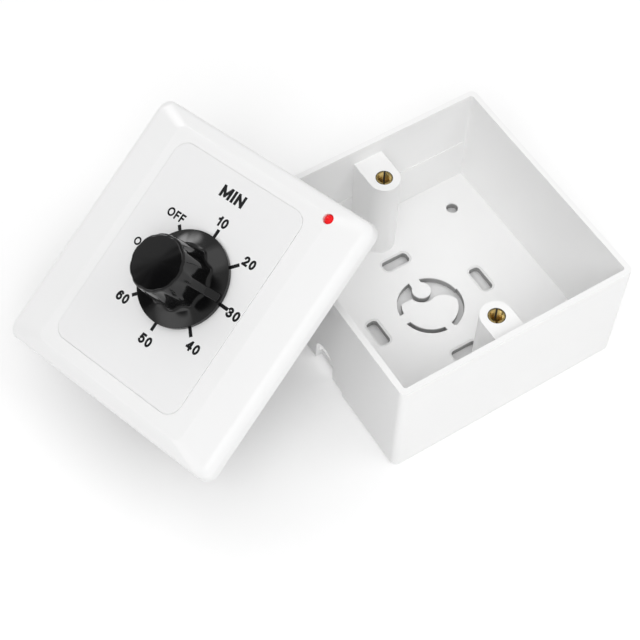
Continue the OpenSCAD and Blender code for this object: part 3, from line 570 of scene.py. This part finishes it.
# Grip: radii, height of its foot, and the ring before it as distance, height and depth of the flutes
GRIP_FOOT_R = 9.9
GRIP_TOP_R = 8.7
GRIP_LOW = 3.2
GRIP_RING = (0.25, 2.85, 0.75)
GRIP_STEPS = 24
# Flutes: number, radius, depth at the grip's foot and top, depth that counts as none, and softness
FLUTES = 10
FLUTE_R = 3.6
FLUTE_FOOT, FLUTE_TOP = 1.0, 0.18
FLUTE_NONE = 0.02
FLUTE_SOFT = 0.06
# Top: height and radius of its round edge, share of a quarter turn that the edge takes, then the low
# crown with its drop at the rim
TOP_EDGE_H = 1.0
TOP_EDGE_R = 0.9
TOP_EDGE_STEPS = 8
TOP_EDGE_SHARE = 0.97
CROWN_H = 0.25
CROWN_DROP = 0.1
CROWN_SHARES = (0.9, 0.75, 0.5, 0.25, 0.1)
# Hole for the grub screw: radius, where it starts from the axis, and height
GRUB_R = 1.6
GRUB_FROM = 5.5
GRUB_H = 6.9
# Back of the pointer rib from the grip out over the skirt, as radius and height, and its bends
RIB_LINE = [(8.85, 11.6), (10.9, 4.4), (14.2, 2.3), (14.4, 0.95)]
RIB_BENDS = (1.6, 0.55)
RIB_STEPS = 6
RIB_FOOT = (5.6, 0.95)
# Rib's width, and its round edges as shares of the width and insets
RIB_W = 2.6
RIB_EDGE = [(-0.5, 0.45), (-0.46, 0.16), (-0.39, 0.04), (-0.3, 0.0), (0.3, 0.0), (0.39, 0.04),
            (0.46, 0.16), (0.5, 0.45)]


def flute_cut(angle, radius, depth):
    """How deep the flutes cut into the grip at an angle, with softly rounded ridges between them."""
    pitch = 2 * pi / FLUTES
    off = (angle % pitch) - pitch / 2
    cut = depth - (radius * off) ** 2 / (2 * FLUTE_R)
    return FLUTE_SOFT * log(1 + exp(cut / FLUTE_SOFT))


def knob_rings():
    """Rings of the knob from its bore, round the skirt and up the grip: radius, height, flutes' depth."""
    skirt = [(RECESS[0], 0.0), (SKIRT_R, 0.0), (SKIRT_R, SKIRT_SIDE),
             (GRIP_FOOT_R + SLOPE_END[0], SLOPE_END[1])]
    plain = [BORE, (BORE[0], RECESS[1]), RECESS, *rounded(skirt, SKIRT_BENDS, SKIRT_STEPS)]
    rings = [(radius, height, 0.0) for radius, height in plain]
    rings.append((GRIP_FOOT_R + GRIP_RING[0], *GRIP_RING[1:]))
    edge_from = KNOB_H - TOP_EDGE_H
    for i in range(GRIP_STEPS + 1):
        share = i / GRIP_STEPS
        height = GRIP_LOW + (edge_from - GRIP_LOW) * share
        radius = GRIP_FOOT_R + (GRIP_TOP_R - GRIP_FOOT_R) * share
        rings.append((radius, height, FLUTE_FOOT + (FLUTE_TOP - FLUTE_FOOT) * share))
    for i in range(1, TOP_EDGE_STEPS + 1):
        turn = i / TOP_EDGE_STEPS * pi / 2 * TOP_EDGE_SHARE
        rings.append((GRIP_TOP_R - TOP_EDGE_R * (1 - cos(turn)), edge_from + TOP_EDGE_R * sin(turn),
                      FLUTE_TOP))
    for share in CROWN_SHARES:
        crown = KNOB_H - CROWN_DROP + CROWN_H * (1 - share ** 2)
        rings.append(((GRIP_TOP_R - TOP_EDGE_R) * share, crown, FLUTE_TOP * share))
    return rings


def pointer_rib():
    """Rib with rounded edges that grows out of the grip and runs out over the skirt."""
    line = [Vector(point) for point in rounded(RIB_LINE, RIB_BENDS, RIB_STEPS)]
    inward = []
    for before, after in zip([line[0]] + line, line[1:] + [line[-1]]):
        along = (after - before).normalized()
        inward.append(Vector((along[1], -along[0])))
    rings = []
    for side, inset in RIB_EDGE:
        back = [point + way * inset for point, way in zip(line, inward)]
        outline = back + [Vector(RIB_FOOT), Vector((RIB_FOOT[0], RIB_LINE[0][1]))]
        rings.append([(point[0], side * RIB_W, point[1]) for point in outline])
    return mesh_of("pointer_rib", *loft(rings))


def make_knob():
    """Pointer knob: skirt, fluted grip and the pointer rib, with the grub screw's hole behind."""
    rings = []
    for radius, height, depth in knob_rings():
        ring = []
        for i in range(KNOB_TURNS):
            angle = 2 * pi * i / KNOB_TURNS
            cut = flute_cut(angle, radius, depth) if depth > FLUTE_NONE else 0.0
            ring.append(((radius - cut) * cos(angle), (radius - cut) * sin(angle), height))
        rings.append(ring)
    body = mesh_of("knob_body", *loft(rings))
    hole = cylinder(GRUB_R, GRUB_FROM, SKIRT_R)
    hole.transform(Matrix.Translation((0, 0, GRUB_H)) @ Matrix.Rotation(-pi / 2, 4, "Y"))
    knob = combine(combine(body, "UNION", pointer_rib()), "DIFFERENCE", hole)
    turn = Matrix.Rotation(radians(POINTER_BACK), 4, "Z")
    place = DIAL @ Matrix.Translation((0, 0, KNOB_Z * MM)) @ turn
    piece("pointer_knob", settle(knob, place, angle=40.0), "knob", "knob_plastic", "knob")


# Meshes of the inserts: points round the axis, and rings for each turn of the thread
INSERT_STEPS = 40
THREAD_STEPS = 6
# Chamfered mouth: height of the outer chamfer and share of the radius left, then how far the mouth is
# wider than the thread, and its depth
CHAMFER_H = 0.25
CHAMFER_SHARE = 0.92
MOUTH_OUT = 0.45
MOUTH_DEEP = 0.35
# Slit across the mouth: width, depth and direction in degrees
SLIT_W = 0.6
SLIT_DEEP = 5.5
SLIT_TURN = 54.0


def thread_ring(z):
    """Ring of the thread at a height, which is deeper where the thread's turn passes."""
    ring = []
    for i in range(INSERT_STEPS):
        turn = 2 * pi * i / INSERT_STEPS
        tooth = abs(((z / THREAD_PITCH - i / INSERT_STEPS) % 1.0) * 2 - 1)
        radius = THREAD_R + THREAD_DEEP * tooth
        ring.append((radius * cos(turn), radius * sin(turn), z))
    return ring


def split_insert(side):
    """Mesh of the insert on one side of the box."""
    outline = [(INSERT_R, 0.0), (INSERT_R, INSERT_LEN - CHAMFER_H), (INSERT_R * CHAMFER_SHARE, INSERT_LEN),
               (THREAD_R + MOUTH_OUT, INSERT_LEN)]
    rings = [circle(radius, z, INSERT_STEPS) for radius, z in outline]
    thread_top = INSERT_LEN - MOUTH_DEEP
    count = int(INSERT_LEN / THREAD_PITCH * THREAD_STEPS)
    rings += [thread_ring(thread_top - thread_top * k / count) for k in range(count + 1)]
    insert = mesh_of("insert", *loft(rings, closed=True))
    slit = slab(2 * INSERT_R + CUT_PAST, SLIT_W, INSERT_LEN - SLIT_DEEP, INSERT_LEN + CUT_PAST)
    slit.transform(Matrix.Rotation(radians(SLIT_TURN), 4, "Z"))
    insert = combine(insert, "DIFFERENCE", slit)
    insert.transform(Matrix.Translation((0, side * INSERT_AT, INSERT_TOP - INSERT_LEN)))
    return insert


def make_inserts():
    """Split brass inserts with a cut thread and a chamfered mouth."""
    mesh = merged("thread_inserts", [split_insert(side) for side in (1, -1)])
    settle(mesh, Matrix.Identity(4), angle=30.0)
    piece("thread_inserts", mesh, "box", "brass", "brass_inserts")


def arc(x, y, across, up, start, end, steps=16):
    """Points of an elliptical arc between two angles in degrees."""
    turns = [radians(start + (end - start) * i / steps) for i in range(steps + 1)]
    return [(x + across * cos(turn), y + up * sin(turn)) for turn in turns]


# Letters and digits: width in capitals' heights, then the pen strokes in a cell one wide and one high
LETTERS = {
    "0": (0.68, [arc(0.5, 0.5, 0.5, 0.5, 0, 360, 32)]),
    "1": (0.44, [[(0.0, 0.72), (0.6, 0.8), (1.0, 0.97)], [(1.0, 0.0), (1.0, 1.0)]]),
    "2": (0.68, [arc(0.5, 0.7, 0.48, 0.3, 165, -35) + [(0.06, 0.03)], [(0.0, 0.0), (1.0, 0.0)]]),
    "3": (0.68, [arc(0.47, 0.76, 0.45, 0.24, 160, -95), arc(0.47, 0.27, 0.53, 0.27, 95, -160)]),
    "4": (0.72, [[(0.76, 0.0), (0.76, 1.0)], [(0.66, 0.94), (0.08, 0.33)],
                 [(0.0, 0.27), (1.0, 0.27)]]),
    "5": (0.68, [[(0.2, 1.0), (0.92, 1.0)], [(0.15, 0.96), (0.07, 0.55)],
                 arc(0.46, 0.33, 0.54, 0.33, 140, -155)]),
    "6": (0.68, [arc(0.5, 0.32, 0.5, 0.32, 0, 360, 32), arc(0.62, 0.4, 0.62, 0.6, 175, 55)]),
    "F": (0.62, [[(0.0, 0.0), (0.0, 1.0)], [(0.0, 1.0), (1.0, 1.0)], [(0.0, 0.5), (0.82, 0.5)]]),
    "I": (0.0, [[(0.0, 0.0), (0.0, 1.0)]]),
    "M": (1.05, [[(0.0, 0.0), (0.0, 1.0)], [(1.0, 0.0), (1.0, 1.0)], [(0.06, 0.95), (0.5, 0.12)],
                 [(0.94, 0.95), (0.5, 0.12)]]),
    "N": (0.85, [[(0.0, 0.0), (0.0, 1.0)], [(1.0, 0.0), (1.0, 1.0)], [(0.06, 0.93), (0.94, 0.07)]]),
    "O": (0.95, [arc(0.5, 0.5, 0.5, 0.5, 0, 360, 32)]),
}
# Marks printed on the label: text, middle from the dial's, height of the capitals and width of the pen
MARKS = [("MIN", (-2.4, 27.6), 3.75, 0.95), ("OFF", (-15.1, 14.2), 2.75, 0.58),
         ("10", (-0.3, 19.7), 3.1, 0.72), ("20", (14.7, 14.25), 3.0, 0.72),
         ("30", (19.7, -0.3), 3.1, 0.72), ("40", (14.8, -14.4), 3.1, 0.72),
         ("50", (0.2, -20.6), 3.1, 0.72), ("60", (-14.6, -14.3), 3.1, 0.72),
         ("ON", (-20.0, 1.6), 2.6, 0.55)]
# Gap between letters in capitals' heights, and the least share of a step that a mitred bend keeps
LETTER_GAP = 0.13
MITRE_LEAST = 0.5
# Ticks: angles in degrees, radii of their ends, and width
TICKS = range(-90, 270, 45)
TICK_IN, TICK_OUT, TICK_W = 13.6, 17.4, 1.08
# Print: thickness, and height of its underside, just over the label
PRINT_T = 0.02
PRINT_Z = 6.862


def stroke(points, pen):
    """Flat mesh of one pen stroke, square at its ends, or a ring where it ends as it began."""
    line = [Vector(point) for point in points]
    closed = (line[0] - line[-1]).length < SAME_POINT
    if closed:
        line.pop()
    else:
        line[0] = line[0] + (line[0] - line[1]).normalized() * pen / 2
        line[-1] = line[-1] + (line[-1] - line[-2]).normalized() * pen / 2
    rings = []
    for i, point in enumerate(line):
        before = line[i - 1] if closed or i else point
        after = line[(i + 1) % len(line)] if closed or i < len(line) - 1 else point
        ways = [way.normalized() for way in (point - before, after - point) if way.length > 0]
        along = (ways[0] + ways[-1]).normalized()
        side = Vector((-along[1], along[0])) * (pen / 2 / max(MITRE_LEAST, along.dot(ways[0])))
        left, right = point + side, point - side
        rings.append([(*left, 0.0), (*right, 0.0), (*right, PRINT_T), (*left, PRINT_T)])
    return mesh_of("stroke", *loft(rings, closed))


def word(text, height, pen):
    """Flat meshes of the letters of a word with its middle at the origin."""
    letters = []
    reach = 0.0
    for letter in text:
        width, strokes = LETTERS[letter]
        wide = max(0.0, width * height - pen)
        lines = [[(reach + pen / 2 + x * wide, pen / 2 + y * (height - pen)) for x, y in line]
                 for line in strokes]
        shapes = [stroke(line, pen) for line in lines]
        letters.append(combine(shapes[0], "UNION", *shapes[1:]))
        reach += wide + pen + LETTER_GAP * height
    reach -= LETTER_GAP * height
    for mesh in letters:
        mesh.transform(Matrix.Translation((-reach / 2, -height / 2, 0)))
    return letters


def make_print():
    """Black print on the label: a tick and a mark for each position."""
    inked = []
    for text, (x, y), height, pen in MARKS:
        for mesh in word(text, height, pen):
            mesh.transform(Matrix.Translation((x, y, 0)))
            inked.append(mesh)
    for angle in TICKS:
        tick = slab(TICK_W, TICK_OUT - TICK_IN, 0.0, PRINT_T)
        turn = Matrix.Rotation(radians(-angle), 4, "Z")
        tick.transform(turn @ Matrix.Translation((0, (TICK_IN + TICK_OUT) / 2, 0)))
        inked.append(tick)
    place = DIAL @ Matrix.Translation((0, 0, PRINT_Z * MM))
    piece("dial_print", settle(merged("dial_print", inked), place), "plate", "black_plastic")


# Floor: half its size in metres, height, colour, and the light that it adds where it is seen
FLOOR_HALF = 6.0
FLOOR_Z = -0.4
FLOOR_COLOUR = 0.93
FLOOR_LIFT = 0.14
# Floor under the box, which is seen through the box's slots: painted shadow as its darker colour, and its soft
# edge
PAINTED_SHADOW_COLOUR = 0.86
COVERED_EDGE = (38.0, 38.5)


def uncovered(tree):
    """Mask of the painted shadow: zero on the floor under the box, and one round it."""
    parts = tree.nodes.new("ShaderNodeSeparateXYZ")
    tree.links.new(tree.nodes.new("ShaderNodeTexCoord").outputs["Object"], parts.inputs["Vector"])
    away_x, away_y = (calculate(tree, "ABSOLUTE", parts.outputs[axis]) for axis in "XY")
    reach = calculate(tree, "MAXIMUM", away_x, away_y)
    return ranged(tree, reach, [edge * MM for edge in COVERED_EDGE], (0.0, 1.0))


def seen(tree, value):
    """A value for rays from the camera, from gloss and through glass, and zero for the others."""
    path = tree.nodes.new("ShaderNodeLightPath")
    total = path.outputs["Is Camera Ray"]
    for name in ("Is Glossy Ray", "Is Transmission Ray"):
        total = calculate(tree, "MAXIMUM", total, path.outputs[name])
    return calculate(tree, "MULTIPLY", total, constant(tree, value))


def make_floor():
    """Pale floor that is nearly white to the camera and keeps the shadow, with a painted shadow under the box."""
    mesh = bpy.data.meshes.new("floor")
    mesh.from_pydata([(x * FLOOR_HALF, y * FLOOR_HALF, 0) for x, y in CORNERS], [], [(0, 1, 2, 3)])
    floor = bpy.data.objects.new("floor", mesh)
    floor.location.z = FLOOR_Z * MM
    bpy.context.scene.collection.objects.link(floor)
    material = bpy.data.materials.new("floor")
    material.use_nodes = True
    tree = material.node_tree
    tree.nodes.remove(tree.nodes["Principled BSDF"])
    # Painted shadow: under the box the floor is darker and adds no light of its own, as seen through the box's
    # slots.
    open_floor = uncovered(tree)
    matte = tree.nodes.new("ShaderNodeBsdfDiffuse")
    colour = ranged(tree, open_floor, (0.0, 1.0), (PAINTED_SHADOW_COLOUR, FLOOR_COLOUR))
    tree.links.new(colour, matte.inputs["Color"])
    lift = tree.nodes.new("ShaderNodeEmission")
    strength = calculate(tree, "MULTIPLY", seen(tree, FLOOR_LIFT), open_floor)
    tree.links.new(strength, lift.inputs["Strength"])
    both = tree.nodes.new("ShaderNodeAddShader")
    tree.links.new(matte.outputs["BSDF"], both.inputs[0])
    tree.links.new(lift.outputs["Emission"], both.inputs[1])
    tree.links.new(both.outputs["Shader"], tree.nodes["Material Output"].inputs["Surface"])
    mesh.materials.append(material)


# Surround that lights the part. It grows with the square of a direction's share of an axis: axis,
# sign and level
SKY = [("Y", -1, 0.5), ("Y", 1, 1.15), ("Z", 1, 0.84)]
# Reflections show an even surround with darker and brighter round panels: direction, cosines of the
# angles between which the edge fades, and factor
REFLECTED = 0.72
PANELS = [((-0.60, 0.25, 0.76), (0.949, 0.968), 0.12), ((0.45, 0.38, 0.81), (0.94, 0.98), 0.25),
          ((-0.209, 0.404, 0.894), (0.966, 0.990), 2.6), ((-0.855, 0.176, 0.491), (0.956, 0.990), 2.9),
          ((-0.728, 0.641, 0.233), (0.956, 0.985), 0.1), ((-0.21, 0.77, 0.60), (0.985, 0.994), 11.0),
          ((-0.50, 0.095, 0.85), (0.961, 0.978), 0.2), ((-0.69, 0.41, 0.597), (0.978, 0.992), 0.3)]
# Lamps: name, place and size in metres, and power in watts, and the point in metres that they face
LAMPS = [("key", (-0.545, -0.545, 0.919), 0.7, 5.8), ("side", (0.545, -0.545, 0.919), 0.7, 2.0)]
LAMP_AIM = (-0.03, 0.01, 0.02)


def make_world():
    """Pale surround that lights the part from the back and above, with panels in reflections."""
    world = bpy.data.worlds.new("world")
    world.use_nodes = True
    bpy.context.scene.world = world
    tree = world.node_tree
    way = tree.nodes.new("ShaderNodeTexCoord").outputs["Generated"]
    parts = tree.nodes.new("ShaderNodeSeparateXYZ")
    tree.links.new(way, parts.inputs["Vector"])
    sky = constant(tree, 0.0)
    for axis, sign, level in SKY:
        share = ranged(tree, parts.outputs[axis], (0.0, sign), (0.0, 1.0))
        share = calculate(tree, "MULTIPLY", share, share)
        sky = calculate(tree, "ADD", sky, calculate(tree, "MULTIPLY", share, constant(tree, level)))
    reflected = constant(tree, REFLECTED)
    for towards, edge, level in PANELS:
        dot = tree.nodes.new("ShaderNodeVectorMath")
        dot.operation = "DOT_PRODUCT"
        dot.inputs[1].default_value = towards
        tree.links.new(way, dot.inputs[0])
        panel = ranged(tree, dot.outputs["Value"], edge, (1.0, level))
        reflected = calculate(tree, "MULTIPLY", reflected, panel)
    path = tree.nodes.new("ShaderNodeLightPath")
    strength = mixed(tree, path.outputs["Is Glossy Ray"], sky, reflected)
    for name in ("Is Camera Ray", "Is Transmission Ray"):
        strength = mixed(tree, path.outputs[name], strength, constant(tree, 1.0))
    background = tree.nodes["Background"]
    background.inputs["Color"].default_value = (1, 1, 1, 1)
    tree.links.new(strength, background.inputs["Strength"])


def make_lamps():
    """Soft studio light from large lamps."""
    for name, at, size, power in LAMPS:
        data = bpy.data.lights.new(name, "AREA")
        data.size = size
        data.energy = power
        lamp = bpy.data.objects.new(name, data)
        lamp.visible_glossy = False
        lamp.location = at
        aim = Vector(LAMP_AIM) - Vector(at)
        lamp.rotation_euler = aim.to_track_quat("-Z", "Y").to_euler()
        bpy.context.scene.collection.objects.link(lamp)


make_camera()
dress_nodes()
for solid, edge_width in SOFT_EDGES.items():
    soften(solid, edge_width)
make_cover()
make_knob()
make_inserts()
make_print()
make_floor()
make_world()
make_lamps()
bpy.context.scene.view_settings.view_transform = "Standard"
